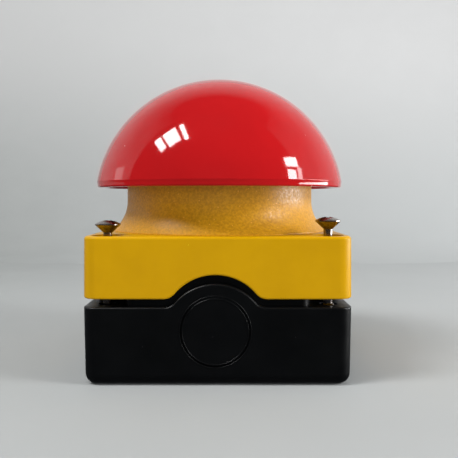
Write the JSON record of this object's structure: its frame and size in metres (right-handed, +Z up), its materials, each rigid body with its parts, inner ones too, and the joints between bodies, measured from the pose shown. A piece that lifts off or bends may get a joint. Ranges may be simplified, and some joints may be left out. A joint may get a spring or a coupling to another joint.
{
  "type": "emergency stop button",
  "caption": "Emergency stop button: red mushroom dome on a yellow collar and cover over a square black surface box, with latch, contact blocks and backed-out captive screws.",
  "frame": {"origin": "centre of the base's underside, on the surface that it stands on", "axes": "+Z up along the button's stroke; the front wall with a cable entry faces -Y; +X to the right seen from the front"},
  "size_m": [0.0942, 0.0942, 0.1056],
  "materials": {
    "red_shell": "high gloss moulded",
    "yellow_shell": "smooth satin moulded",
    "yellow_grained": "fine spark-eroded grain",
    "black_shell": "semi-gloss moulded",
    "screw_steel": "bright zinc-plated",
    "brass": "machined",
    "spring_steel": "drawn wire",
    "turned_steel": "turned",
    "seal_rubber": "matt",
    "grey_plastic": "satin moulded",
    "block_plastic": "satin moulded",
    "nc_plunger_plastic": "satin moulded",
    "no_plunger_plastic": "satin moulded",
    "bearing_plastic": "natural acetal"
  },
  "bodies": {
    "base": {"base_shell": "black_shell", "thread_inserts": "brass", "contact_carrier": "grey_plastic", "carrier_screws": "screw_steel", "nc_contact_housing": "block_plastic", "no_contact_housing": "block_plastic", "nc_fixed_contacts": "brass", "no_fixed_contacts": "brass", "terminal_clamps": "turned_steel", "terminal_screws": "screw_steel", "nc_contact_spring": "spring_steel", "no_contact_spring": "spring_steel"},
    "nc_contact": {"nc_plunger": "nc_plunger_plastic", "nc_bridge": "brass"},
    "no_contact": {"no_plunger": "no_plunger_plastic", "no_bridge": "brass"},
    "cover": {"cover_shell": "yellow_shell", "cover_gasket": "seal_rubber", "collar": "yellow_grained", "collar_gasket": "seal_rubber", "collar_screws": "screw_steel", "latch_housing": "bearing_plastic", "latch_lid": "bearing_plastic", "latch_screws": "screw_steel", "latch_spring_left": "spring_steel", "latch_spring_right": "spring_steel", "guide_bush": "bearing_plastic", "stem_seal": "seal_rubber", "return_spring": "spring_steel"},
    "latch_left": {"latch_slider_left": "turned_steel"},
    "latch_right": {"latch_slider_right": "turned_steel"},
    "button": {"dome": "red_shell", "dome_insert": "brass", "stem": "turned_steel", "lock_nut": "turned_steel", "retaining_clip": "spring_steel", "pusher_plate": "grey_plastic", "pusher_screw": "screw_steel"},
    "screw_front_left": {"cover_screw_front_left": "screw_steel"},
    "screw_front_right": {"cover_screw_front_right": "screw_steel"},
    "screw_rear_left": {"cover_screw_rear_left": "screw_steel"},
    "screw_rear_right": {"cover_screw_rear_right": "screw_steel"}
  },
  "joints": [
    {"name": "cover_lift", "type": "slide", "parent": "base", "child": "cover", "axis": [0, 0, 1], "range_m": [-0.0025, 0.045]},
    {"name": "button_press", "type": "slide", "parent": "cover", "child": "button", "axis": [0, 0, -1], "range_m": [0, 0.005], "deforming": ["return_spring"]},
    {"name": "latch_left_slide", "type": "slide", "parent": "cover", "child": "latch_left", "axis": [-1, 0, 0], "range_m": [0, 0.001], "deforming": ["latch_spring_left"]},
    {"name": "latch_right_slide", "type": "slide", "parent": "cover", "child": "latch_right", "axis": [1, 0, 0], "range_m": [0, 0.001], "deforming": ["latch_spring_right"]},
    {"name": "nc_contact_press", "type": "slide", "parent": "base", "child": "nc_contact", "axis": [0, 0, -1], "range_m": [0, 0.005], "deforming": ["nc_contact_spring"]},
    {"name": "no_contact_press", "type": "slide", "parent": "base", "child": "no_contact", "axis": [0, 0, -1], "range_m": [0, 0.005], "deforming": ["no_contact_spring"]},
    {"name": "screw_front_left_slide", "type": "slide", "parent": "cover", "child": "screw_front_left", "axis": [0, 0, 1], "range_m": [-0.0042, 0.0059]},
    {"name": "screw_front_right_slide", "type": "slide", "parent": "cover", "child": "screw_front_right", "axis": [0, 0, 1], "range_m": [-0.00535, 0.00475]},
    {"name": "screw_rear_left_slide", "type": "slide", "parent": "cover", "child": "screw_rear_left", "axis": [0, 0, 1], "range_m": [-0.0048, 0.0053]},
    {"name": "screw_rear_right_slide", "type": "slide", "parent": "cover", "child": "screw_rear_right", "axis": [0, 0, 1], "range_m": [-0.0045, 0.0056]}
  ],
  "couplings": [
    {"joint": "latch_left_slide", "follows": "button_press", "ratio": 0.2},
    {"joint": "latch_right_slide", "follows": "button_press", "ratio": 0.2},
    {"joint": "nc_contact_press", "follows": "button_press", "ratio": 1},
    {"joint": "no_contact_press", "follows": "button_press", "ratio": 1}
  ]
}
